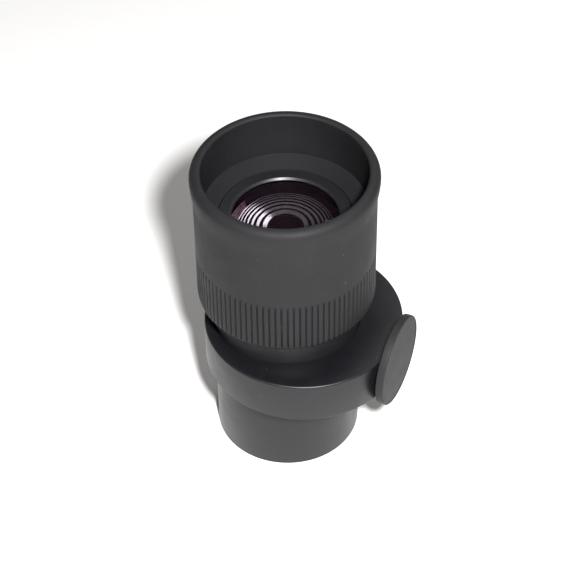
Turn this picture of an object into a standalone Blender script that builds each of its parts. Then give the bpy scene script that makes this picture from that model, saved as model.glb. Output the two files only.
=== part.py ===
"""Two-inch telescope eyepiece with an illuminated reticle and helical focusing.

The optical axis is +Z, the open end of the push-fit barrel stands on z = 0,
and the dimmer knob looks along +X.  Dimensions below are in millimetres and
are turned into metres when the meshes are made.
"""
import bpy
import bmesh
import math
from mathutils import Matrix, Vector

# ---------------------------------------------------------------- dimensions
MM = 0.001
GAP = 0.3                    # clearance between neighbouring pieces

BARREL_R = 25.4              # 2-inch push-fit barrel
BARREL_BORE = 23.4
BARREL_TOP = 36.6
FILTER_R = 24.0              # M48 filter thread, plain here
FILTER_DEPTH = 5.0
SPIGOT_R = 24.6
SPIGOT_BORE = 22.9
SPIGOT_TOP = 41.0

HOUSING_R = 34.5             # eccentric electronics housing
HOUSING_X = 6.34             # its centre, towards the knob
HOUSING_Z0 = 36.6
HOUSING_Z1 = 52.7
HOUSING_WALL = 1.9
HOUSING_ROOF = 2.4
BASE_THICK = 2.0
FLAT_X = 39.3                # milled flat behind the knob
PAD_X = 37.0                 # inner face of the thick pad behind that flat

NECK_R = 25.8
NECK_BORE = 23.5
NECK_Z0 = 38.9
NECK_Z1 = 83.7

CELL_Z0, CELL_Z1 = 41.3, 49.0
RETICLE_R = 19.7
RETICLE_Z0, RETICLE_Z1 = 44.0, 46.0

TUBE_R = 23.2                # sliding lens tube
TUBE_BORE = 21.3
TUBE_Z0, TUBE_Z1 = 54.0, 96.0
COLLAR_R = 25.8
COLLAR_Z0, COLLAR_Z1 = 90.0, 94.7
TUBE_TOP_R = 22.3
LENS_R = 21.0
EYE_LENS_R = 19.9            # the eye lens sits inside the retainer's skirt

RING_R = 27.4                # focusing ring, turns on the neck
RING_BORE = 26.1
RING_Z0 = 65.0
SHELF_Z0, SHELF_Z1 = 95.0, 97.6
SHELF_BORE = 22.6
DISH_Z = 100.7               # the shelf is dished: its outer edge stands higher
SNAP_Z0, SNAP_Z1 = 88.0, 89.7

SLEEVE_BORE = 27.7           # rubber grip and eyecup
SLEEVE_R = 30.6
SLEEVE_Z0 = 64.7
RIM_R = 31.5
RIM_Z = 117.5
RIM_ROUND = 2.9             # outer rounding of the rim

KNOB_R = 16.2
KNOB_Z = 44.65
KNOB_X0, KNOB_X1 = 39.8, 42.6

CELL_AZ, CELL_R = 35.0, 31.6     # battery well, polar about the optical axis
BUTTON_R, BUTTON_H = 3.95, 3.6
LED_AZ = -55.0
GUIDE_AZ, GUIDE_Z = 115.0, 70.0
SCREWS = ((84.0, 28.8), (-84.0, 28.8), (-25.0, 33.5))

FINE, MEDIUM, COARSE = 64, 40, 20


# ------------------------------------------------------------------- helpers
def material(name, colour, roughness, metallic=0.0, alpha=1.0):
    mat = bpy.data.materials.new(name)
    mat.use_nodes = True
    bsdf = mat.node_tree.nodes["Principled BSDF"]
    bsdf.inputs["Base Color"].default_value = (*colour, 1.0)
    bsdf.inputs["Roughness"].default_value = roughness
    bsdf.inputs["Metallic"].default_value = metallic
    bsdf.inputs["Alpha"].default_value = alpha
    return mat


def finish_mesh(bm, name, mat, smooth_angle=35.0):
    """Close, orient and store a bmesh as one named object."""
    bmesh.ops.remove_doubles(bm, verts=bm.verts, dist=1e-7)
    bmesh.ops.recalc_face_normals(bm, faces=bm.faces)
    mesh = bpy.data.meshes.new(name)
    bm.to_mesh(mesh)
    bm.free()
    if mat is not None:
        mesh.materials.append(mat)
    mesh.shade_smooth()
    mesh.set_sharp_from_angle(angle=math.radians(smooth_angle))
    obj = bpy.data.objects.new(name, mesh)
    bpy.context.scene.collection.objects.link(obj)
    return obj


def turned(name, profile, mat, segments=FINE, degrees=360.0, location=(0, 0, 0),
           axis="Z", parent=None):
    """Spin a closed (r, z) outline about its axis.

    Outlines that start and end on the axis stay open there and close into a
    solid piece.  Less than a full turn gives a split ring with end faces.
    """
    bm = bmesh.new()
    verts = [bm.verts.new((r * MM, 0.0, z * MM)) for r, z in profile]
    on_axis = profile[0][0] == 0 and profile[-1][0] == 0
    edges = [bm.edges.new((a, b)) for a, b in zip(verts, verts[1:])]
    if not on_axis:
        edges.append(bm.edges.new((verts[-1], verts[0])))
    full = degrees >= 360.0
    geom = verts + edges
    if not full:
        geom = geom + [bm.faces.new(verts)]
    bmesh.ops.spin(bm, geom=geom, cent=(0, 0, 0), axis=(0, 0, 1), dvec=(0, 0, 0),
                   angle=math.radians(degrees), steps=segments, use_merge=full)
    obj = finish_mesh(bm, name, mat)
    place(obj, location, axis, parent)
    return obj


def place(obj, location, axis="Z", parent=None):
    if axis == "X":                       # local Z turned to look along +X
        obj.rotation_euler = (0.0, math.radians(90), 0.0)
    obj.location = [v * MM for v in location]
    if parent is not None:
        obj.parent = parent
        obj.matrix_parent_inverse = Matrix.Identity(4)
        obj.location = [v * MM - p for v, p in zip(location, parent.location)]


def block(name, size, location, mat, azimuth=0.0):
    bm = bmesh.new()
    bmesh.ops.create_cube(bm, size=1.0)
    bmesh.ops.scale(bm, vec=[s * MM for s in size], verts=bm.verts)
    obj = finish_mesh(bm, name, mat)
    obj.location = [v * MM for v in location]
    obj.rotation_euler = (0.0, 0.0, math.radians(azimuth))
    return obj


def cutter(obj):
    obj.hide_render = True
    obj.display_type = "WIRE"
    return obj


def boolean(obj, other, operation="DIFFERENCE"):
    mod = obj.modifiers.new(operation.title(), "BOOLEAN")
    mod.operation = operation
    mod.solver = "EXACT"
    mod.object = other
    upright = other.rotation_euler.z == 0.0 and other.rotation_euler.y == 0.0
    if operation == "DIFFERENCE" and upright and len(other.data.vertices) > 8:
        other.rotation_euler.z = 0.11     # keeps a round cut's corners off the facets' edges
    cutter(other)


def polar(azimuth, radius):
    a = math.radians(azimuth)
    return radius * math.cos(a), radius * math.sin(a)


def cap_curve(radius, z_edge, z_apex, steps):
    """Points of a spherical lens face from its edge to the axis."""
    sag = z_apex - z_edge
    curve = (radius * radius + sag * sag) / (2.0 * abs(sag))
    sign = 1.0 if sag > 0 else -1.0
    points = []
    for i in range(1, steps + 1):
        r = radius * (1.0 - i / steps)
        drop = curve - math.sqrt(max(curve * curve - r * r, 0.0))
        points.append((r, z_apex - sign * drop))
    return points


def lens(name, radius, z_top_edge, z_top, z_low_edge, z_low, mat,
         segments=MEDIUM, steps=3, parent=None):
    """A lens from its edge heights and the heights of its two vertices."""
    if abs(z_top - z_top_edge) < 1e-6:
        upper = [(0.0, z_top)]
    else:
        upper = cap_curve(radius, z_top_edge, z_top, steps)
    if abs(z_low - z_low_edge) < 1e-6:
        lower = [(0.0, z_low)]
    else:
        lower = cap_curve(radius, z_low_edge, z_low, steps)
    profile = (upper[::-1] + [(radius, z_top_edge), (radius, z_low_edge)] + lower)
    return turned(name, profile, mat, segments, parent=parent)


# ------------------------------------------------------------------ the scene
for old in list(bpy.data.objects):
    bpy.data.objects.remove(old, do_unlink=True)

ANODISED = material("black_anodised", (0.055, 0.055, 0.058), 0.42, 0.7)
SATIN = material("satin_housing", (0.045, 0.045, 0.050), 0.38, 0.6)
RUBBER = material("grip_rubber", (0.060, 0.060, 0.062), 0.80)
KNOB_PAINT = material("knob_black", (0.085, 0.085, 0.088), 0.50)
BAFFLE = material("matt_black", (0.020, 0.020, 0.022), 0.75)
GLASS = material("optical_glass", (0.10, 0.06, 0.11), 0.05, 0.0, 0.35)
STEEL = material("plain_steel", (0.45, 0.45, 0.46), 0.35, 1.0)
BRASS = material("brass", (0.70, 0.52, 0.22), 0.35, 1.0)
PLASTIC = material("black_plastic", (0.04, 0.04, 0.045), 0.55)
BOARD = material("circuit_board_green", (0.03, 0.16, 0.07), 0.50)
LAMP = material("led_red", (0.55, 0.03, 0.03), 0.25)


def axis_empty(name, location):
    empty = bpy.data.objects.new(name, None)
    empty.location = [v * MM for v in location]
    bpy.context.scene.collection.objects.link(empty)
    return empty


CARRIER = axis_empty("axis_focus_slide", (0, 0, 60))
GRIP = axis_empty("axis_focus_turn", (0, 0, 80))
KNOB = axis_empty("axis_knob_turn", (0, 0, KNOB_Z))

# ---- barrel: shoulder for the base plate, then a threaded spigot above it
turned("nosepiece_barrel", [
    (BARREL_R, BARREL_TOP), (BARREL_R, 0.5), (BARREL_R - 0.5, 0.0),
    (FILTER_R, 0.0), (FILTER_R, FILTER_DEPTH), (BARREL_BORE, FILTER_DEPTH),
    (BARREL_BORE, BARREL_TOP - 2.0), (SPIGOT_BORE, BARREL_TOP - 1.5),
    (SPIGOT_BORE, SPIGOT_TOP), (SPIGOT_R, SPIGOT_TOP), (SPIGOT_R, BARREL_TOP),
], ANODISED)

# ---- eccentric housing: a cup with its open side down
housing = turned("housing_shell", [
    (0.0, HOUSING_Z1), (HOUSING_R - 0.5, HOUSING_Z1), (HOUSING_R, HOUSING_Z1 - 0.5),
    (HOUSING_R, HOUSING_Z0), (HOUSING_R - HOUSING_WALL, HOUSING_Z0),
    (HOUSING_R - HOUSING_WALL, HOUSING_Z1 - HOUSING_ROOF),
    (0.0, HOUSING_Z1 - HOUSING_ROOF),
], SATIN, location=(HOUSING_X, 0, 0))

# thick pad that carries the dimmer, and the pillars for the base screws
pad_reach = HOUSING_X + HOUSING_R - HOUSING_WALL + 1.0
boolean(housing, block("add_pad", (pad_reach - PAD_X, 17.0, HOUSING_Z1 - 1.0 - 39.0),
                       ((pad_reach + PAD_X) / 2, 0, (HOUSING_Z1 - 1.0 + 39.0) / 2),
                       None), "UNION")
for i, (az, rad) in enumerate(SCREWS, 1):
    x, y = polar(az, rad)
    boolean(housing, turned("add_pillar_%d" % i, [
        (0.0, HOUSING_Z1 - 1.0), (2.3, HOUSING_Z1 - 1.0),
        (2.3, HOUSING_Z0 + BASE_THICK + GAP), (0.0, HOUSING_Z0 + BASE_THICK + GAP),
    ], None, 16, location=(x, y, 0)), "UNION")
    boolean(housing, turned("cut_pillar_%d" % i, [
        (0.0, 46.0), (1.3, 46.0), (1.3, 30.0), (0.0, 30.0),
    ], None, 12, location=(x, y, 0)))

boolean(housing, turned("cut_neck_hole", [
    (0.0, 60.0), (NECK_R + GAP, 60.0), (NECK_R + GAP, 49.7), (0.0, 49.7)], None))
boolean(housing, block("cut_flat", (10.0, 60.0, 40.0), (FLAT_X + 5.0, 0, KNOB_Z), None))
boolean(housing, turned("cut_bush_hole", [
    (0.0, 50.0), (3.3, 50.0), (3.3, 30.0), (0.0, 30.0)], None, COARSE,
    location=(0, 0, KNOB_Z), axis="X"))

# ---- base plate that closes the housing from below
base = turned("housing_base", [
    (0.0, HOUSING_Z0 + BASE_THICK), (HOUSING_R - HOUSING_WALL - GAP, HOUSING_Z0 + BASE_THICK),
    (HOUSING_R - HOUSING_WALL - GAP, HOUSING_Z0), (0.0, HOUSING_Z0),
], SATIN, location=(HOUSING_X, 0, 0))
boolean(base, turned("cut_base_bore", [
    (0.0, 60.0), (SPIGOT_R + GAP, 60.0), (SPIGOT_R + GAP, 30.0), (0.0, 30.0)], None))
boolean(base, turned("cut_barrel_seat", [
    (0.0, HOUSING_Z0 + GAP), (BARREL_R + GAP, HOUSING_Z0 + GAP),
    (BARREL_R + GAP, 30.0), (0.0, 30.0)], None))
bx, by = polar(CELL_AZ, CELL_R)
boolean(base, turned("cut_battery_door", [
    (0.0, 60.0), (4.8, 60.0), (4.8, 30.0), (0.0, 30.0)], None, COARSE,
    location=(bx, by, 0)))
for i, (az, rad) in enumerate(SCREWS, 1):
    x, y = polar(az, rad)
    boolean(base, turned("cut_countersink_%d" % i, [
        (0.0, 45.0), (1.4, 45.0), (1.4, HOUSING_Z0 + 1.4), (2.6, HOUSING_Z0 + 0.2),
        (2.6, 30.0), (0.0, 30.0)], None, 16, location=(x, y, 0)))
    turned("base_screw_%d" % i, [
        (0.0, 45.0), (1.0, 45.0), (1.0, HOUSING_Z0 + 1.35), (2.25, HOUSING_Z0 + 0.25),
        (2.25, HOUSING_Z0 + 0.05), (0.9, HOUSING_Z0 + 0.05), (0.9, HOUSING_Z0 + 0.7),
        (0.0, HOUSING_Z0 + 0.7)], STEEL, 16, location=(x, y, 0))

# ---- neck that the focusing ring turns on
neck = turned("neck_tube", [
    (NECK_R, NECK_Z1 - 0.4), (NECK_R, NECK_Z0), (SPIGOT_R + GAP, NECK_Z0),
    (SPIGOT_R + GAP, SPIGOT_TOP + GAP), (NECK_BORE, SPIGOT_TOP + GAP),
    (NECK_BORE, NECK_Z1), (NECK_R - 0.4, NECK_Z1),
], ANODISED)


def radial_hole(name, azimuth, z, radius, r0, r1, sides=12):
    """A round cutter that lies along a radius of the optical axis."""
    obj = turned(name, [(0.0, r1), (radius, r1), (radius, r0), (0.0, r0)], None, sides)
    turn = Matrix.Rotation(math.radians(azimuth), 4, "Z") @ Matrix.Rotation(math.radians(90), 4, "Y")
    obj.matrix_world = Matrix.Translation((0, 0, z * MM)) @ turn
    return obj


boolean(neck, radial_hole("cut_led_window", LED_AZ, 45.0, 1.8, 20.0, 30.0))
boolean(neck, radial_hole("cut_guide_hole", GUIDE_AZ, GUIDE_Z, 1.3, 20.0, 30.0))

guide = turned("guide_screw", [(0.0, 25.6), (1.0, 25.6), (1.0, 21.9), (0.0, 21.9)], BRASS, 12)
guide.matrix_world = (Matrix.Translation((0, 0, GUIDE_Z * MM))
                      @ Matrix.Rotation(math.radians(GUIDE_AZ), 4, "Z")
                      @ Matrix.Rotation(math.radians(90), 4, "Y"))

# ---- reticle group, held in the neck just above the barrel
cell = turned("reticle_cell", [
    (NECK_BORE - GAP, CELL_Z1), (NECK_BORE - GAP, CELL_Z0 + GAP), (17.5, CELL_Z0 + GAP),
    (17.5, RETICLE_Z0 - GAP), (RETICLE_R + GAP, RETICLE_Z0 - GAP), (RETICLE_R + GAP, CELL_Z1),
], BAFFLE, MEDIUM)
boolean(cell, radial_hole("cut_cell_window", LED_AZ, 45.0, 1.0, 15.0, 30.0, 8))
turned("reticle_glass", [
    (0.0, RETICLE_Z1), (RETICLE_R, RETICLE_Z1), (RETICLE_R, RETICLE_Z0), (0.0, RETICLE_Z0),
], GLASS, MEDIUM)
turned("reticle_retainer", [
    (RETICLE_R, 47.8), (RETICLE_R, RETICLE_Z1 + GAP), (17.5, RETICLE_Z1 + GAP), (17.5, 47.8),
], BAFFLE, MEDIUM)

# ---- lamp and its board, in the wide side of the housing
lamp = turned("led_lamp", [
    (0.0, 23.9), (1.0, 24.1), (1.5, 24.9), (1.5, 27.6), (1.9, 27.6), (1.9, 28.6), (0.0, 28.6),
], LAMP, 12)
lamp.matrix_world = (Matrix.Translation((0, 0, 45.0 * MM))
                     @ Matrix.Rotation(math.radians(LED_AZ), 4, "Z")
                     @ Matrix.Rotation(math.radians(90), 4, "Y"))
lx, ly = polar(LED_AZ, 29.9)
holder = block("led_holder", (6.6, 6.6, 8.0), (*polar(LED_AZ, 29.9), 45.5), PLASTIC, LED_AZ)
boolean(holder, radial_hole("cut_led_seat", LED_AZ, 45.0, 2.2, 22.0, 28.9))

board_profile = [(31.6, 40.3), (31.6, 39.3), (26.6, 39.3), (26.6, 40.3)]
board = turned("circuit_board", board_profile, BOARD, 8, degrees=38.0)
board.rotation_euler = (0, 0, math.radians(-76.0))

# ---- rotary dimmer behind the knob
turned("dimmer_body", [
    (5.0, 35.0), (5.0, 28.9), (4.5, 28.9), (4.5, 33.2), (1.8, 33.2), (1.8, 38.9),
    (3.0, 38.9), (3.0, 35.0),
], PLASTIC, COARSE, location=(0, 0, KNOB_Z), axis="X")
turned("dimmer_rear_cover", [
    (0.0, 28.6), (5.0, 28.6), (5.0, 27.8), (0.0, 27.8),
], STEEL, COARSE, location=(0, 0, KNOB_Z), axis="X")
turned("dimmer_nut", [
    (5.0, 36.7), (5.0, 35.3), (3.9, 35.3), (3.9, 36.7),
], BRASS, 6, location=(0, 0, KNOB_Z), axis="X")
turned("dimmer_rotor", [
    (0.0, 41.3), (1.5, 41.3), (1.5, 32.6), (4.0, 32.6), (4.0, 31.4), (1.5, 31.4),
    (1.5, 29.2), (0.0, 29.2),
], BRASS, COARSE, location=(0, 0, KNOB_Z), axis="X", parent=KNOB)
turned("dimmer_knob", [
    (0.0, KNOB_X1), (KNOB_R - 0.4, KNOB_X1), (KNOB_R, KNOB_X1 - 0.4),
    (KNOB_R, KNOB_X0 + 0.4), (KNOB_R - 0.4, KNOB_X0), (1.8, KNOB_X0),
    (1.8, 41.6), (0.0, 41.6),
], KNOB_PAINT, FINE, location=(0, 0, KNOB_Z), axis="X", parent=KNOB)

# ---- battery well with two button cells and a coin-slot door
turned("battery_sleeve", [
    (5.0, 48.0), (5.0, 39.0), (4.3, 39.0), (4.3, 48.0)],
    PLASTIC, COARSE, location=(bx, by, 0))
turned("button_cell_1", [
    (0.0, 39.3 + BUTTON_H), (BUTTON_R, 39.3 + BUTTON_H), (BUTTON_R, 39.3), (0.0, 39.3)],
    STEEL, COARSE, location=(bx, by, 0))
turned("button_cell_2", [
    (0.0, 43.2 + BUTTON_H), (BUTTON_R, 43.2 + BUTTON_H), (BUTTON_R, 43.2), (0.0, 43.2)],
    STEEL, COARSE, location=(bx, by, 0))


def coil_spring(name, radius_low, radius_high, z0, z1, turns, wire, mat, location):
    """A conical spring as one bent round wire with capped ends."""
    bm = bmesh.new()
    per_turn, sides = 12, 6
    count = int(turns * per_turn) + 1
    rings = []
    for i in range(count):
        t = i / (count - 1)
        a = 2.0 * math.pi * turns * t
        rad = radius_low + (radius_high - radius_low) * t
        centre = Vector((rad * math.cos(a), rad * math.sin(a), z0 + (z1 - z0) * t))
        out = Vector((math.cos(a), math.sin(a), 0.0))
        up = Vector((0.0, 0.0, 1.0))
        ring = []
        for k in range(sides):
            b = 2.0 * math.pi * k / sides
            ring.append(bm.verts.new((centre + (out * math.cos(b) + up * math.sin(b)) * wire) * MM))
        rings.append(ring)
    for lower, upper in zip(rings, rings[1:]):
        for k in range(sides):
            bm.faces.new((lower[k], lower[(k + 1) % sides], upper[(k + 1) % sides], upper[k]))
    bm.faces.new(rings[0][::-1])
    bm.faces.new(rings[-1])
    obj = finish_mesh(bm, name, mat)
    obj.location = [v * MM for v in location]
    return obj


coil_spring("battery_spring", 2.2, 3.4, 47.4, 49.3, 2.5, 0.25, STEEL, (bx, by, 0))
turned("battery_contact", [
    (0.0, 50.0), (4.4, 50.0), (4.4, 49.8), (0.0, 49.8)], BRASS, COARSE, location=(bx, by, 0))

door = turned("battery_cap", [
    (0.0, 38.7), (3.6, 38.7), (4.5, 38.2), (4.5, 36.8), (4.2, HOUSING_Z0), (0.0, HOUSING_Z0),
], SATIN, COARSE, location=(bx, by, 0))
slot = block("cut_coin_slot", (7.0, 1.2, 2.0), (bx, by, HOUSING_Z0 - 0.2), None, 35.0)
boolean(door, slot)

# ---- sliding lens tube with its collar and the keyway for the guide screw
tube = turned("lens_tube", [
    (TUBE_TOP_R, TUBE_Z1), (TUBE_TOP_R, COLLAR_Z1), (COLLAR_R, COLLAR_Z1),
    (COLLAR_R, COLLAR_Z0), (TUBE_R, COLLAR_Z0), (TUBE_R, TUBE_Z0),
    (TUBE_BORE, TUBE_Z0), (TUBE_BORE, TUBE_Z1),
], ANODISED, MEDIUM, parent=CARRIER)
keyway = block("cut_keyway", (6.0, 2.6, 11.6), (*polar(GUIDE_AZ, 22.5), GUIDE_Z), None, GUIDE_AZ)
boolean(tube, keyway)

# the retainer is a thin flange with a threaded skirt around the eye lens
turned("lens_retainer", [
    (TUBE_TOP_R, SHELF_Z1), (TUBE_TOP_R, TUBE_Z1 + GAP), (LENS_R, TUBE_Z1 + GAP),
    (LENS_R, 91.0), (EYE_LENS_R + GAP, 91.0), (EYE_LENS_R + GAP, 96.7), (17.9, 96.7),
    (17.9, SHELF_Z1 - 0.4), (18.3, SHELF_Z1),
], BAFFLE, FINE, parent=CARRIER)
lens("eye_lens_outer", EYE_LENS_R, 96.0, 98.0, 91.0, 86.5, GLASS, steps=4, parent=CARRIER)
turned("eye_spacer", [
    (LENS_R, 90.1), (LENS_R, 85.0), (19.8, 85.0), (19.8, 90.1)], BAFFLE, MEDIUM, parent=CARRIER)
lens("eye_lens_inner", LENS_R, 84.7, 83.2, 80.6, 80.6, GLASS, segments=32, parent=CARRIER)
lens("middle_lens", LENS_R, 77.4, 80.2, 76.0, 74.2, GLASS, segments=32, parent=CARRIER)
turned("field_spacer", [
    (LENS_R, 75.3), (LENS_R, 68.7), (19.8, 68.7), (19.8, 75.3)], BAFFLE, MEDIUM, parent=CARRIER)
lens("field_lens_outer", LENS_R, 68.0, 70.6, 65.6, 63.2, GLASS, segments=32, parent=CARRIER)
lens("field_lens_inner", LENS_R, 65.3, 62.9, 57.2, 57.2, GLASS, segments=32, parent=CARRIER)
turned("field_retainer", [
    (LENS_R, 56.9), (LENS_R, 54.4), (18.6, 54.4), (18.6, 56.9)], BAFFLE, MEDIUM, parent=CARRIER)
turned("element_spacer", [
    (LENS_R, 80.3), (LENS_R, 78.1), (20.2, 78.1), (20.2, 80.3)], BAFFLE, MEDIUM, parent=CARRIER)

# ---- focusing ring: its top flange is the shelf inside the eyecup
turned("focus_ring", [
    (RING_R, DISH_Z), (RING_R, RING_Z0), (RING_BORE, RING_Z0),
    (RING_BORE, SNAP_Z0 - GAP), (RING_BORE + 0.6, SNAP_Z0 - GAP),
    (RING_BORE + 0.6, SNAP_Z1 + GAP), (RING_BORE, SNAP_Z1 + GAP),
    (RING_BORE, SHELF_Z0), (SHELF_BORE, SHELF_Z0), (SHELF_BORE, SHELF_Z1),
], ANODISED, parent=GRIP)
turned("capture_ring", [
    (RING_BORE + 0.3, SNAP_Z1), (RING_BORE + 0.3, SNAP_Z0), (24.1, SNAP_Z0), (24.1, SNAP_Z1),
], STEEL, MEDIUM, degrees=340.0, parent=GRIP)

# ---- rubber grip and eyecup in one moulding, with a soft rolled rim
turned("eyecup_sleeve", [
    (SLEEVE_R, RIM_Z - 7.0), (SLEEVE_R, SLEEVE_Z0 + 0.4), (SLEEVE_R - 0.4, SLEEVE_Z0),
    (SLEEVE_BORE, SLEEVE_Z0), (SLEEVE_BORE, RIM_Z - 0.6), (SLEEVE_BORE + 0.6, RIM_Z),
    (RIM_R - RIM_ROUND, RIM_Z), (RIM_R - 0.5 * RIM_ROUND, RIM_Z - 0.13 * RIM_ROUND),
    (RIM_R - 0.13 * RIM_ROUND, RIM_Z - 0.5 * RIM_ROUND), (RIM_R, RIM_Z - RIM_ROUND),
], RUBBER, parent=GRIP)

bpy.context.view_layer.update()
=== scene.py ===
"""Looks for the two-inch eyepiece: fine meshes, procedural materials, light and camera."""
import bpy
import bmesh
import math
import numpy as np
from mathutils import Matrix, Vector


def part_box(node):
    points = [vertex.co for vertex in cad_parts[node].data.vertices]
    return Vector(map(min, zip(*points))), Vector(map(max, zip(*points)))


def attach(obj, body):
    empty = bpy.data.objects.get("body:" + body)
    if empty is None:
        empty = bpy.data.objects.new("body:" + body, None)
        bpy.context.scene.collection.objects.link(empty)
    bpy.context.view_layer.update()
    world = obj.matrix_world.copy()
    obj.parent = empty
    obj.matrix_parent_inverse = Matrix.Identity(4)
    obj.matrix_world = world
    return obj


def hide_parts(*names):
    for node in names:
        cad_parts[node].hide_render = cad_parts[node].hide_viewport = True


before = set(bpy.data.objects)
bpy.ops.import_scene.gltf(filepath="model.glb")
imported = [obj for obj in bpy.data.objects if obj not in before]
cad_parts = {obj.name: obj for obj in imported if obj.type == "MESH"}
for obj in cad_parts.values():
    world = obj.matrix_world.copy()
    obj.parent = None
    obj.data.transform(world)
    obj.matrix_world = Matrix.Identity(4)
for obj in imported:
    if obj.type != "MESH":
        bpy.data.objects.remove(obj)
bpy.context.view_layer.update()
scene = bpy.context.scene
scene.view_settings.view_transform = "Standard"
MM = 0.001
FINE = 256


# ------------------------------------------------------------------ node trees
class Tree:
    """A short way to write a material's nodes. Every pattern is in the part's own frame, in metres."""

    def __init__(self, name):
        self.mat = bpy.data.materials.new(name)
        self.mat.use_nodes = True
        self.nt = self.mat.node_tree
        self.nt.nodes.clear()
        self.out = self.nt.nodes.new("ShaderNodeOutputMaterial")
        self.bsdf = self.nt.nodes.new("ShaderNodeBsdfPrincipled")
        self.nt.links.new(self.bsdf.outputs[0], self.out.inputs["Surface"])
        self.coord = self.nt.nodes.new("ShaderNodeTexCoord").outputs["Object"]
        sep = self.nt.nodes.new("ShaderNodeSeparateXYZ")
        self.link(self.coord, sep.inputs[0])
        self.x, self.y, self.z = sep.outputs

    def link(self, a, b):
        self.nt.links.new(a, b)

    def put(self, socket, value):
        if isinstance(value, bpy.types.NodeSocket):
            self.link(value, socket)
        else:
            socket.default_value = value

    def math(self, op, a, b=0.0, c=0.0, clamp=False):
        n = self.nt.nodes.new("ShaderNodeMath")
        n.operation = op
        n.use_clamp = clamp
        for s, v in zip(n.inputs, (a, b, c)):
            self.put(s, v)
        return n.outputs[0]

    def vector(self, x, y, z):
        n = self.nt.nodes.new("ShaderNodeCombineXYZ")
        for s, v in zip(n.inputs, (x, y, z)):
            self.put(s, v)
        return n.outputs[0]

    def stretch(self, sx, sy, sz, source=None):
        n = self.nt.nodes.new("ShaderNodeMapping")
        n.inputs["Scale"].default_value = (sx, sy, sz)
        self.link(source or self.coord, n.inputs["Vector"])
        return n.outputs[0]

    def noise(self, scale, detail=3.0, rough=0.55, source=None, distortion=0.0):
        n = self.nt.nodes.new("ShaderNodeTexNoise")
        n.inputs["Scale"].default_value = scale
        n.inputs["Detail"].default_value = detail
        n.inputs["Roughness"].default_value = rough
        n.inputs["Distortion"].default_value = distortion
        self.link(source or self.coord, n.inputs["Vector"])
        return n.outputs[0]

    def cells(self, scale, feature="F1", source=None, randomness=1.0):
        n = self.nt.nodes.new("ShaderNodeTexVoronoi")
        n.feature = feature
        n.inputs["Scale"].default_value = scale
        n.inputs["Randomness"].default_value = randomness
        self.link(source or self.coord, n.inputs["Vector"])
        return n

    def ramp(self, value, stops):
        n = self.nt.nodes.new("ShaderNodeValToRGB")
        self.link(value, n.inputs[0])
        e = n.color_ramp.elements
        while len(e) > 1:
            e.remove(e[-1])
        for i, (pos, colour) in enumerate(stops):
            if not hasattr(colour, "__len__"):
                colour = (colour, colour, colour)
            el = e[0] if i == 0 else e.new(pos)
            el.position = pos
            el.color = (*colour[:3], 1.0)
        return n.outputs[0]

    def mix(self, factor, a, b):
        n = self.nt.nodes.new("ShaderNodeMix")
        n.data_type = "RGBA"
        self.put(n.inputs["Factor"], factor)
        for s, v in ((n.inputs[6], a), (n.inputs[7], b)):
            if not isinstance(v, bpy.types.NodeSocket):
                v = (*v, 1.0)
            self.put(s, v)
        return n.outputs[2]

    def bump(self, height, distance, strength=1.0, normal=None):
        n = self.nt.nodes.new("ShaderNodeBump")
        n.inputs["Strength"].default_value = strength
        n.inputs["Distance"].default_value = distance
        self.link(height, n.inputs["Height"])
        if normal is not None:
            self.link(normal, n.inputs["Normal"])
        return n.outputs[0]

    def set(self, **values):
        for key, value in values.items():
            self.put(self.bsdf.inputs[key.replace("_", " ")], value)
        return self.mat


def speckle(t, scale, size, density):
    """Scattered dust: 1 on a few small grains, 0 elsewhere."""
    v = t.cells(scale)
    near = t.math("LESS_THAN", v.outputs["Distance"], size)
    pick = t.math("GREATER_THAN", t.math("FRACT", t.math("MULTIPLY", v.outputs["Color"], 7.31)), 1.0 - density)
    return t.math("MULTIPLY", near, pick)


def rubber(name, base, lift, dust=1.0, specular=0.27):
    """Moulded rubber: fine matt grain, cloudy handling marks, and a little dust."""
    t = Tree(name)
    cloud = t.noise(55.0, 4.0, 0.6, distortion=0.4)
    grain = t.noise(5200.0, 2.0, 0.7)
    rub = t.noise(1.0, 3.0, 0.5, source=t.stretch(240.0, 240.0, 45.0))
    colour = t.mix(t.math("MULTIPLY", cloud, 1.0), base, lift)
    colour = t.mix(t.math("MULTIPLY", t.math("SUBTRACT", rub, 0.55, clamp=True), 0.8), colour,
                   tuple(min(1.0, c * 1.55) for c in lift))
    specks = t.math("ADD", speckle(t, 330.0, 0.10, 0.055 * dust), speckle(t, 760.0, 0.13, 0.030 * dust), clamp=True)
    colour = t.mix(t.math("MULTIPLY", specks, 0.55), colour, (0.10, 0.10, 0.097))
    rough = t.ramp(cloud, [(0.30, 0.56), (0.70, 0.74)])
    normal = t.bump(grain, 0.00006, 0.55)
    normal = t.bump(cloud, 0.00012, 0.25, normal)
    return t.set(Base_Color=colour, Roughness=rough, Specular_IOR_Level=specular, Normal=normal)


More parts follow.
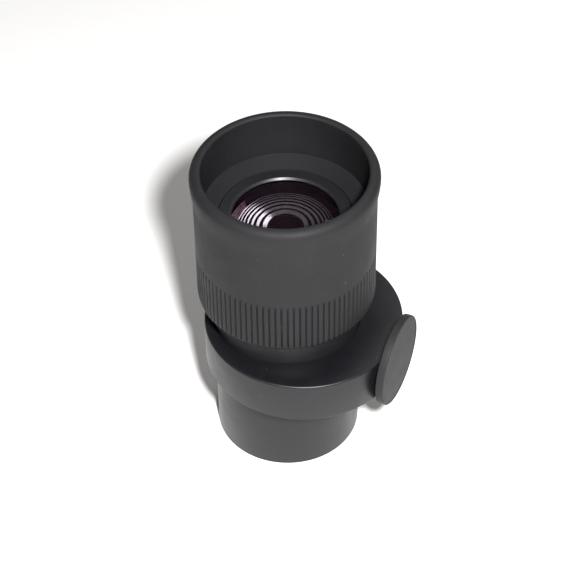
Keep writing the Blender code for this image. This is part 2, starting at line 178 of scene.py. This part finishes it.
def anodised(name, base, lift, rough=(0.34, 0.46), turning="z", specular=0.5, lines=0.00002, metallic=0.0, dust=0.5):
    """Black anodised aluminium: the tool's turning marks, faint blotches and handling scuffs."""
    t = Tree(name)
    if turning == "z":                       # marks run round the optical axis
        fine = t.noise(1.0, 2.0, 0.6, source=t.stretch(40.0, 40.0, 9000.0))
        band = t.noise(1.0, 2.0, 0.5, source=t.stretch(25.0, 25.0, 1100.0))
    elif turning == "r":                     # face turned about the optical axis
        r = t.math("SQRT", t.math("ADD", t.math("MULTIPLY", t.x, t.x), t.math("MULTIPLY", t.y, t.y)))
        fine = t.noise(1.0, 2.0, 0.6, source=t.vector(t.math("MULTIPLY", r, 7000.0), t.math("MULTIPLY", t.x, 30.0), t.math("MULTIPLY", t.y, 30.0)))
        band = t.noise(1.0, 2.0, 0.5, source=t.vector(t.math("MULTIPLY", r, 900.0), t.math("MULTIPLY", t.x, 30.0), t.math("MULTIPLY", t.y, 30.0)))
    else:                                    # blasted, no direction
        fine = t.noise(4200.0, 2.0, 0.7)
        band = t.noise(260.0, 3.0, 0.6)
    cloud = t.noise(70.0, 4.0, 0.6, distortion=0.5)
    scuff = t.noise(1.0, 4.0, 0.65, source=t.stretch(900.0, 900.0, 120.0), distortion=1.2)
    colour = t.mix(cloud, base, lift)
    mark = t.math("MULTIPLY", t.math("SUBTRACT", scuff, 0.66, clamp=True), 2.2, clamp=True)
    colour = t.mix(mark, colour, tuple(min(1.0, c * 2.2 + 0.01) for c in lift))
    specks = speckle(t, 420.0, 0.10, 0.05 * dust)
    colour = t.mix(t.math("MULTIPLY", specks, 0.5), colour, (0.10, 0.10, 0.097))
    roughness = t.math("ADD", t.ramp(cloud, [(0.25, rough[0]), (0.75, rough[1])]), t.math("MULTIPLY", t.math("SUBTRACT", band, 0.5), 0.10))
    normal = t.bump(fine, lines, 0.5)
    normal = t.bump(band, lines * 1.5, 0.35, normal)
    return t.set(Base_Color=colour, Roughness=roughness, Specular_IOR_Level=specular, Metallic=metallic, Normal=normal)


def metal(name, base, lift, rough=(0.22, 0.40), scale=60.0):
    """Plain machined metal with turning lines and slight tarnish."""
    t = Tree(name)
    fine = t.noise(1.0, 2.0, 0.6, source=t.stretch(300.0, 300.0, 9000.0))
    tarnish = t.noise(scale * 6.0, 4.0, 0.6)
    colour = t.mix(tarnish, base, lift)
    return t.set(Base_Color=colour, Roughness=t.ramp(tarnish, [(0.3, rough[0]), (0.7, rough[1])]),
                 Metallic=1.0, Normal=t.bump(fine, 0.00002, 0.5))


def plastic(name, base, lift, rough=(0.38, 0.55)):
    t = Tree(name)
    cloud = t.noise(300.0, 4.0, 0.6)
    grain = t.noise(6000.0, 2.0, 0.7)
    return t.set(Base_Color=t.mix(cloud, base, lift), Roughness=t.ramp(cloud, [(0.3, rough[0]), (0.7, rough[1])]),
                 Normal=t.bump(grain, 0.00004, 0.4))


def circuit(name):
    """Green solder resist with copper-coloured tracks under it."""
    t = Tree(name)
    cell = t.cells(700.0, "DISTANCE_TO_EDGE")
    track = t.ramp(cell.outputs["Distance"], [(0.05, 1.0), (0.09, 0.0)])
    cloud = t.noise(500.0, 3.0)
    colour = t.mix(track, t.mix(cloud, (0.012, 0.085, 0.035), (0.018, 0.11, 0.05)), (0.035, 0.20, 0.07))
    return t.set(Base_Color=colour, Roughness=t.ramp(cloud, [(0.3, 0.30), (0.7, 0.42)]),
                 Normal=t.bump(track, 0.00004, 0.6))


def glass(name, tint, coat_tint, rough=0.015):
    """Coated optical glass: nearly clear, with a violet bloom where it mirrors."""
    t = Tree(name)
    film = t.noise(45.0, 3.0, 0.5)
    colour = t.mix(film, tint, tuple(min(1.0, c * 1.06) for c in tint))
    smear = t.ramp(t.noise(140.0, 4.0, 0.6, distortion=1.0), [(0.45, rough), (0.80, rough + 0.035)])
    t.set(Base_Color=colour, Roughness=smear, Normal=t.bump(film, 0.00001, 0.05))
    t.bsdf.inputs["Transmission Weight"].default_value = 1.0
    t.bsdf.inputs["IOR"].default_value = 1.52
    t.bsdf.inputs["Specular Tint"].default_value = (*coat_tint, 1.0)
    return t.mat


# ------------------------------------------------------------------ mesh tools
def store(name, bm, mat, body, nodes=(), angle=30.0):
    bmesh.ops.recalc_face_normals(bm, faces=bm.faces)
    mesh = bpy.data.meshes.new(name)
    bm.to_mesh(mesh)
    bm.free()
    mesh.shade_smooth()
    mesh.set_sharp_from_angle(angle=math.radians(angle))
    mesh.materials.append(mat)
    obj = bpy.data.objects.new(name, mesh)
    scene.collection.objects.link(obj)
    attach(obj, body)
    if nodes:
        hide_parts(*nodes)
    return obj


def rounded(points, steps=5):
    """Turn a closed outline of (r, z, fillet) into plain (r, z) points with round corners."""
    out = []
    n = len(points)
    for i, (r, z, f) in enumerate(points):
        here = Vector((r, z))
        if f <= 0:
            out.append((r, z))
            continue
        before = Vector(points[i - 1][:2]) - here
        after = Vector(points[(i + 1) % n][:2]) - here
        la, lb = before.length, after.length
        before.normalize()
        after.normalize()
        half = before.angle(after) / 2.0
        if half > math.radians(89.0) or half < 0.01:
            out.append((r, z))
            continue
        reach = min(f / math.tan(half), la * 0.48, lb * 0.48)
        radius = reach * math.tan(half)
        centre = here + (before + after).normalized() * (radius / math.sin(half))
        a, b = here + before * reach - centre, here + after * reach - centre
        for k in range(steps + 1):
            s = k / steps
            v = (a.normalized() * math.sin((1 - s) * a.angle(b)) + b.normalized() * math.sin(s * a.angle(b)))
            v = v / max(math.sin(a.angle(b)), 1e-9) if a.angle(b) > 1e-6 else a.normalized()
            p = centre + v.normalized() * radius
            out.append((p.x, p.y))
    return out


def lathe_mesh(outline, segments=FINE, centre=(0.0, 0.0), radius_at=None):
    """A closed (r, z) outline swept round the optical axis. r = 0 closes on the axis."""
    bm = bmesh.new()
    rings = []
    for r, z in outline:
        if r <= 1e-6:
            rings.append([bm.verts.new((centre[0] * MM, centre[1] * MM, z * MM))])
            continue
        ring = []
        for k in range(segments):
            a = 2.0 * math.pi * k / segments
            ring.append(bm.verts.new(((centre[0] + r * math.cos(a)) * MM, (centre[1] + r * math.sin(a)) * MM, z * MM)))
        rings.append(ring)
    for low, high in zip(rings, rings[1:] + rings[:1]):
        if len(low) == 1 and len(high) == 1:
            continue
        for k in range(segments):
            j = (k + 1) % segments
            if len(low) == 1:
                bm.faces.new((low[0], high[j], high[k]))
            elif len(high) == 1:
                bm.faces.new((low[k], low[j], high[0]))
            else:
                bm.faces.new((low[k], low[j], high[j], high[k]))
    return bm


def node_box(name):
    lo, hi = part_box(name)
    return [v / MM for v in lo], [v / MM for v in hi]


def arc_face(radius, z_edge, z_apex, steps):
    """Lens face from its edge to the axis."""
    sag = z_apex - z_edge
    curve = (radius * radius + sag * sag) / (2.0 * abs(sag))
    sign = 1.0 if sag > 0 else -1.0
    pts = []
    for i in range(1, steps + 1):
        r = radius * (1.0 - i / steps)
        pts.append((max(r, 0.0), z_apex - sign * (curve - math.sqrt(curve * curve - r * r))))
    return pts


# ------------------------------------------------------------------- materials
M_RUBBER = rubber("rubber_moulded", (0.0080, 0.0080, 0.0090), (0.0140, 0.0140, 0.0155))
# painted shade: a duller, less glossy copy of the rubber for the cup's sheltered inside wall; the extra dust is real
M_RUBBER_INSIDE_PAINTED_SHADE = rubber("rubber_cup_inside_painted_shade", (0.0085, 0.0085, 0.0095), (0.0125, 0.0125, 0.0138), 1.4, 0.10)
M_BARREL = anodised("anodised_barrel", (0.0079, 0.0079, 0.0090), (0.0130, 0.0131, 0.0148), (0.34, 0.46), "z", 0.36)
M_HOUSING = anodised("anodised_housing", (0.0042, 0.0042, 0.0057), (0.0079, 0.0079, 0.0099), (0.36, 0.48), "none", 0.40, 0.00002)
M_NECK = anodised("anodised_neck", (0.009, 0.009, 0.0105), (0.0145, 0.0145, 0.0165), (0.36, 0.50), "z", 0.45)
M_SHELF = anodised("anodised_shelf", (0.0095, 0.0095, 0.0105), (0.0140, 0.0140, 0.0155), (0.62, 0.74), "r", 0.09)
M_RETAINER = anodised("blackened_retainer", (0.008, 0.008, 0.010), (0.014, 0.014, 0.0165), (0.34, 0.46), "r", 0.40, 0.000012)
M_KNOB = anodised("blasted_knob", (0.011, 0.011, 0.0115), (0.021, 0.021, 0.0215), (0.54, 0.66), "none", 0.26, 0.00003)
M_BAFFLE = anodised("baffle_black", (0.008, 0.008, 0.010), (0.016, 0.016, 0.018), (0.45, 0.60), "z", 0.4)
M_STEEL = metal("machined_steel", (0.42, 0.42, 0.43), (0.55, 0.55, 0.56))
M_BLACKED = metal("blacked_screws", (0.06, 0.06, 0.065), (0.11, 0.11, 0.115), (0.30, 0.45))
M_BRASS = metal("machined_brass", (0.62, 0.43, 0.16), (0.75, 0.56, 0.25))
M_PLASTIC = plastic("switch_plastic", (0.018, 0.018, 0.020), (0.030, 0.030, 0.033))
M_LAMP = plastic("lamp_epoxy", (0.42, 0.012, 0.012), (0.55, 0.03, 0.025), (0.08, 0.18))
M_BOARD = circuit("circuit_resist")
M_EYE = glass("coated_eye_lens", (0.93, 0.86, 0.90), (0.30, 0.06, 0.20), 0.006)
M_FIELD = glass("coated_inner_lens", (0.93, 0.86, 0.92), (0.34, 0.10, 0.26))
M_VOID = anodised("flocked_black", (0.0008, 0.0005, 0.0008), (0.0018, 0.0011, 0.0016), (0.80, 0.92), "z", 0.0, 0.00002, 0.0, 0.0)
M_EDGE = metal("turned_edges", (0.32, 0.33, 0.36), (0.44, 0.45, 0.485), (0.14, 0.20), 30.0)

# ------------------------------------------------------ the grip and the eyecup
lo, hi = node_box("eyecup_sleeve")
Z0, RIM = lo[2], hi[2]
RIM_R = hi[0]
SLEEVE_R, BORE = 30.6, 27.7
RIBS, GROOVE_TOP = 94, 83.7


def sleeve():
    """One rubber moulding: ribbed grip below, smooth wall above, rolled rim."""
    per_rib = 12
    segments = RIBS * per_rib
    depth = 0.80
    outer = []                               # (r, z, groove strength), bottom to top
    for z, h, cut in ((0.0, 1.0, 0.55), (0.12, 1.0, 0.25), (0.35, 1.0, 0.07), (0.7, 1.0, 0.0)):
        outer.append((SLEEVE_R - cut, Z0 + z, h))
    for i in range(1, 7):
        outer.append((SLEEVE_R, Z0 + 0.7 + i * (GROOVE_TOP - 1.3 - Z0 - 0.7) / 6, 1.0))
    for i in range(1, 5):                    # the groove shallows out below a small round pit
        s = i / 4
        outer.append((SLEEVE_R, GROOVE_TOP - 1.3 + 0.8 * s, 1.0 - 0.72 * s * s))
    for i in range(1, 9):
        s = i / 8
        outer.append((SLEEVE_R, GROOVE_TOP - 0.5 + 1.0 * s, max(0.0, 0.28 * (1.0 - 2.0 * s))))
    plain = [(SLEEVE_R, GROOVE_TOP + 0.9), (SLEEVE_R, 90.0), (SLEEVE_R, 97.0), (SLEEVE_R, 102.0), (SLEEVE_R, 106.0)]
    lip, fillet = [], 2.75                   # the wall flares a touch into a rolled lip
    for i in range(1, 9):
        s = i / 8
        lip.append((SLEEVE_R + (RIM_R - SLEEVE_R) * (3 * s * s - 2 * s * s * s), 106.0 + (RIM - fillet - 106.0) * s))
    roll = []
    for i in range(1, 11):
        a = math.radians(90.0 * i / 10)
        roll.append((RIM_R - fillet + fillet * math.cos(a), RIM - fillet + fillet * math.sin(a)))
    inner = []
    for i in range(0, 8):
        a = math.radians(90.0 + 90.0 * i / 7)
        inner.append((BORE + 0.95 + 0.95 * math.cos(a), RIM - 0.95 + 0.95 * math.sin(a)))
    inner += [(BORE, 110.0), (BORE, 104.0), (BORE, 98.0), (BORE, 90.0), (BORE, Z0 + 0.3), (BORE + 0.3, Z0)]
    outline = outer + [(r, z, 0.0) for r, z in plain + lip + roll + inner]

    bm = bmesh.new()
    rings = []
    for r, z, h in outline:
        ring = []
        for k in range(segments):
            a = 2.0 * math.pi * k / segments
            u = (k % per_rib) / per_rib          # 0 is the middle of a groove
            d = abs(u - 0.5) * 2.0               # 1 at the groove, 0 on the crest
            groove = min(1.0, max(0.0, (d - 0.66) / 0.22))
            groove = groove * groove * (3 - 2 * groove)
            crown = 0.10 * (d ** 2)              # the crest is slightly crowned
            across = (1.0 - d) * 0.5 * 2.0 * math.pi * SLEEVE_R / RIBS
            away = (across / 0.52) ** 2 + ((z - GROOVE_TOP) / 0.5) ** 2
            pit = 0.50 * math.sqrt(max(0.0, 1.0 - away)) if r > SLEEVE_R - 0.01 and z < GROOVE_TOP + 0.6 else 0.0
            rr = r - max(h * (depth * groove + crown * (1 - groove)), pit)
            ring.append(bm.verts.new((rr * math.cos(a) * MM, rr * math.sin(a) * MM, z * MM)))
        rings.append(ring)
    for low, high in zip(rings, rings[1:] + rings[:1]):
        for k in range(segments):
            j = (k + 1) % segments
            bm.faces.new((low[k], low[j], high[j], high[k]))
    obj = store("rubber_eyecup_grip", bm, M_RUBBER, "focus_grip", ("eyecup_sleeve",), 50.0)
    obj.data.materials.append(M_RUBBER_INSIDE_PAINTED_SHADE)         # painted shade: the sheltered inside wall of the cup gets a duller, less glossy copy of the rubber (its extra dust is real)
    for face in obj.data.polygons:
        c = face.center
        if math.hypot(c.x, c.y) < 28.35 * MM and c.z < (RIM - 0.7) * MM:
            face.material_index = 1
    return obj


sleeve()

# ------------------------------------------- focusing ring with the inside shelf
lo, hi = node_box("focus_ring")
SHELF_Z = 97.6
store("focusing_ring_shelf", lathe_mesh(rounded([
    (27.62, hi[2] + 0.15, 0.0), (27.4, 100.0, 0.0), (hi[0], lo[2], 0.2), (26.1, lo[2], 0.2), (26.1, 87.7, 0), (26.7, 87.7, 0),
    (26.7, 90.0, 0), (26.1, 90.0, 0), (26.1, 95.0, 0), (22.6, 95.0, 0.15), (22.6, SHELF_Z, 0.16),
    (22.95, SHELF_Z + 0.06, 0.1), (27.35, hi[2], 0.1),
])), M_SHELF, "focus_grip", ("focus_ring",))

# ---------------------------------------------------------- lens retaining ring
lo, hi = node_box("lens_retainer")
TOP = hi[2]
ridges = []
for i in range(9):                           # fine anti-glare steps on the ring's face
    r0 = 19.0 + i * 0.34
    ridges += [(r0, TOP - 0.02, 0), (r0 + 0.17, TOP - 0.04, 0)]
outline = [(hi[0], TOP - 0.1, 0.1), (hi[0], 96.3, 0), (21.0, 96.3, 0), (21.0, 91.0, 0), (20.2, 91.0, 0), (20.2, 96.7, 0),
           (18.15, 96.7, 0), (18.05, 96.9, 0.05), (18.7, TOP - 0.06, 0.05), (18.85, TOP, 0.05)] + ridges + [(22.0, TOP, 0.1)]
store("lens_retaining_ring", lathe_mesh(rounded(outline, 4)), M_RETAINER, "lens_carrier", ("lens_retainer",), 40.0)

# ------------------------------------------------------------------ eye lens
lo, hi = node_box("eye_lens_outer")
R = hi[0]


def element(name, node, radius, faces, mat, segments=192):
    """One polished element: faces are (edge height, vertex height) above and below."""
    (te, ta), (le, la) = faces
    top = arc_face(radius, te, ta, 28)[::-1] if abs(te - ta) > 1e-6 else [(0.0, ta)]
    low = arc_face(radius, le, la, 28) if abs(le - la) > 1e-6 else [(0.0, la)]
    obj = store(name, lathe_mesh(top + [(radius, te), (radius, le)] + low, segments), mat, "lens_carrier",
                (node,), 40.0)
    obj.visible_shadow = False               # glass does not shade the baffles below it
    return obj


def ridged_spacer(name, node, z0, z1, bore, pitch=0.62, height=0.30):
    """A spacer whose bore is cut with fine round ridges against stray light."""
    points = [(20.95, z1, 0.1), (20.95, z0, 0.1), (bore, z0, 0)]
    z = z0 + 0.1
    while z < z1 - pitch:
        for k in range(5):
            a = math.pi * k / 4
            points.append((bore + height - height * math.sin(a), z + pitch * (k / 4) * 0.94, 0))
        z += pitch
    points.append((bore, z1, 0))
    return store(name, lathe_mesh(rounded(points, 3), 160), M_BAFFLE, "lens_carrier", (node,), 60.0)


element("eye_lens_glass", "eye_lens_outer", R, ((96.0, 98.0), (92.4, 92.0)), M_EYE)
element("eye_lens_second", "eye_lens_inner", 19.6, ((84.0, 83.2), (80.6, 80.6)), M_FIELD, 128)
element("middle_lens_glass", "middle_lens", 21.0, ((76.4, 77.3), (75.9, 74.2)), M_FIELD, 128)
element("field_lens_first", "field_lens_outer", 21.0, ((68.0, 70.6), (65.6, 63.2)), M_FIELD, 128)
element("field_lens_second", "field_lens_inner", 21.0, ((65.3, 62.9), (57.2, 57.2)), M_FIELD, 128)


def stepped_baffle():
    """The spacer under the eye lens: a black bowl with turned steps round its opening."""
    low, high = node_box("eye_spacer")
    base, foot = 89.6, 84.3
    points = [(high[0], 90.8, 0.1), (high[0], foot, 0.1), (5.3, foot, 0.05), (5.3, base, 0.05)]
    steps = [(7.3, 1.35), (9.4, 0.95), (11.1, 0.72), (12.5, 0.54), (13.7, 0.40), (14.7, 0.30), (15.6, 0.24)]
    for radius, wide in steps:
        points += [(radius - wide, base, 0), (radius, base + 0.34 * wide, 0.03), (radius + 0.06, base, 0)]
    points += [(16.6, base, 0.2), (18.6, 91.7, 0.2), (19.2, 92.3, 0.05), (20.0, 92.3, 0.05), (20.0, 90.8, 0)]
    obj = store("eye_spacer_baffle", lathe_mesh(rounded(points, 3), 192), M_VOID, "lens_carrier", ("eye_spacer",), 40.0)
    obj.data.materials.append(M_EDGE)        # the slope of each step is bare turned metal
    for face in obj.data.polygons:
        c, n = face.center, face.normal
        r = math.hypot(c.x, c.y)
        out = (c.x * n.x + c.y * n.y) / r
        if -0.6 < out < -0.15 and n.z > 0.6 and 5.6 * MM < r < 15.8 * MM and c.z > (base - 0.05) * MM:
            face.material_index = 1
    return obj


stepped_baffle()


# ------------------------------------------------------------------- barrel
lo, hi = node_box("nosepiece_barrel")
BR = hi[0]
mouth = [(BR, 36.6, 0.25), (BR, 0.0, 0.45), (24.25, 0.0, 0.2)]
thread = []
z = 0.45
while z < 4.8:                               # filter thread in the mouth
    thread += [(24.0, z, 0), (23.58, z + 0.30, 0), (23.58, z + 0.42, 0), (24.0, z + 0.72, 0)]
    z += 0.75
outline = mouth + thread + [(23.4, 5.3, 0.1), (23.4, 34.3, 0), (22.9, 34.8, 0), (22.9, 41.0, 0.15), (24.6, 41.0, 0.3), (24.6, 36.6, 0)]
store("barrel_tube", lathe_mesh(rounded(outline, 5)), M_BARREL, "base", ("nosepiece_barrel",))

# ------------------------------------------------------------------- housing
lo, hi = node_box("housing_shell")
HX, HR = (hi[0] * 0 + 6.34), 34.5
FLAT = 39.3
HZ0, HZ1 = lo[2], hi[2]


def reach(angle, radius, flat):
    """Distance from the optical axis to the off-centre circle, stopped at a flat across +X."""
    d = HX * math.cos(angle) + math.sqrt(radius * radius - (HX * math.sin(angle)) ** 2)
    if math.cos(angle) > 0:
        d = min(d, flat / math.cos(angle))
    return d


def housing():
    segments = 384
    edge = 0.75
    loops = []                               # (radius of circle, flat, z) or hole radius
    loops.append(("in", 32.6, 37.0, HZ0))
    loops.append(("in", 32.6, 37.0, HZ1 - 2.4))
    loops.append(("hole", 26.1, 0, HZ1 - 2.4))
    loops.append(("hole", 26.1, 0, HZ1 - 0.25))
    loops.append(("hole", 26.18, 0, HZ1 - 0.07))
    loops.append(("hole", 26.35, 0, HZ1))
    for i in range(7):                       # rounded top edge
        a = math.radians(90.0 - 90.0 * i / 6)
        cut = edge - edge * math.cos(a)
        loops.append(("out", HR - cut, FLAT - cut, HZ1 - edge + edge * math.sin(a)))
    for i in range(5):
        a = math.radians(-90.0 * i / 4)
        cut = 0.35 - 0.35 * math.cos(a)
        loops.append(("out", HR - cut, FLAT - cut, HZ0 + 0.35 + 0.35 * math.sin(a)))
    bm = bmesh.new()
    rings = []
    for kind, radius, flat, z in loops:
        ring = []
        for k in range(segments):
            a = 2.0 * math.pi * (k + 0.5) / segments
            r = radius if kind == "hole" else reach(a, radius, flat)
            ring.append(bm.verts.new((r * math.cos(a) * MM, r * math.sin(a) * MM, z * MM)))
        rings.append(ring)
    for low, high in zip(rings, rings[1:] + rings[:1]):
        for k in range(segments):
            j = (k + 1) % segments
            bm.faces.new((low[k], low[j], high[j], high[k]))
    obj = store("housing_cover", bm, M_HOUSING, "base", ("housing_shell",), 35.0)
    return obj


housing()

# ---------------------------------------------------------------------- neck
lo, hi = node_box("neck_tube")
store("neck_sleeve", lathe_mesh(rounded([
    (hi[0], hi[2], 0.4), (hi[0], lo[2], 0.1), (24.9, lo[2], 0), (24.9, 41.3, 0), (23.5, 41.3, 0), (23.5, hi[2], 0.1),
], 4)), M_NECK, "base", ("neck_tube",))


# ---------------------------------------------------------------------- knob
lo, hi = node_box("dimmer_knob")
KR, KX0, KX1, KZ = (hi[2] - lo[2]) / 2, lo[0], hi[0], (hi[2] + lo[2]) / 2
bm = lathe_mesh(rounded([
    (0.0, KX1 - 0.05, 0), (14.9, KX1 - 0.05, 0.1), (15.05, KX1 - 0.13, 0.05), (15.2, KX1, 0.08), (KR, KX1, 0.75), (KR, KX0, 0.45), (1.8, KX0, 0),
    (1.8, 41.6, 0), (0.0, 41.6, 0),
], 6), 224)
turn = Matrix.Translation((0, 0, KZ * MM)) @ Matrix.Rotation(math.radians(90), 4, "Y")
bmesh.ops.transform(bm, matrix=turn, verts=bm.verts)
store("dimmer_dial", bm, M_KNOB, "dimmer_control", ("dimmer_knob",), 35.0)

# ------------------------------------------------ materials on the CAD's pieces
finish_of = {
    "housing_base": M_HOUSING, "battery_cap": M_HOUSING, "reticle_cell": M_BAFFLE, "reticle_glass": M_FIELD,
    "reticle_retainer": M_BAFFLE, "guide_screw": M_BRASS, "base_screw_1": M_BLACKED, "base_screw_2": M_BLACKED,
    "base_screw_3": M_BLACKED, "dimmer_body": M_PLASTIC, "dimmer_rear_cover": M_STEEL, "dimmer_nut": M_BRASS,
    "dimmer_rotor": M_BRASS, "led_holder": M_PLASTIC, "led_lamp": M_LAMP, "circuit_board": M_BOARD,
    "battery_sleeve": M_PLASTIC, "battery_contact": M_BRASS, "battery_spring": M_STEEL, "button_cell_1": M_STEEL,
    "button_cell_2": M_STEEL, "lens_tube": M_BAFFLE, "element_spacer": M_VOID, "field_retainer": M_BAFFLE,
    "capture_ring": M_STEEL,
}
for node, mat in finish_of.items():
    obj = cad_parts[node]
    if not obj.material_slots:
        obj.data.materials.append(mat)
    for s in obj.material_slots:
        s.material = mat

# ------------------------------------------------------------------- the studio
floor_mat = Tree("studio_floor")
paper = floor_mat.noise(90.0, 3.0)
floor_mat.set(Base_Color=floor_mat.mix(paper, (0.90, 0.895, 0.885), (0.92, 0.915, 0.905)), Roughness=0.85, Specular_IOR_Level=0.2)
bm = bmesh.new()
bmesh.ops.create_grid(bm, x_segments=2, y_segments=2, size=3.0)
mesh = bpy.data.meshes.new("studio_floor")
bm.to_mesh(mesh)
bm.free()
mesh.materials.append(floor_mat.mat)
floor = bpy.data.objects.new("studio_floor", mesh)
floor.location.z = -0.0002
scene.collection.objects.link(floor)


def area(name, place, size, power, aim=(0, 0, 0.06), colour=(1, 1, 1)):
    light = bpy.data.lights.new(name, "AREA")
    light.shape = "DISK"
    light.size = size
    light.energy = power
    light.color = colour
    obj = bpy.data.objects.new(name, light)
    obj.location = place
    obj.rotation_euler = (Vector(aim) - Vector(place)).to_track_quat("-Z", "Y").to_euler()
    scene.collection.objects.link(obj)
    return obj


area("key_lamp", (0.2371, -0.3748, 0.553), 0.05, 10.0)
area("side_lamp", (0.125, 0.56, 0.655), 0.40, 1.3)
world = bpy.data.worlds.new("studio_air")
scene.world = world
world.use_nodes = True
world.node_tree.nodes["Background"].inputs["Color"].default_value = (1.0, 0.985, 0.965, 1.0)
world.node_tree.nodes["Background"].inputs["Strength"].default_value = 0.16

# ------------------------------------------------------------------- the camera
cam_data = bpy.data.cameras.new("camera")
cam_data.sensor_width = 36.0
cam_data.lens = 124.57
cam_data.clip_start = 0.01
cam = bpy.data.objects.new("camera", cam_data)
C = Vector((0.20357202, -0.44669802, 0.54901835))
F = Vector((-0.2931914, 0.64688823, -0.70397047)).normalized()
R_ = Vector((0.91466645, 0.40409512, -0.00961399)).normalized()
U = R_.cross(F).normalized()
cam.matrix_world = Matrix.Translation(C) @ Matrix((R_, U, -F)).transposed().to_4x4()
scene.collection.objects.link(cam)
scene.camera = cam

bpy.context.view_layer.update()
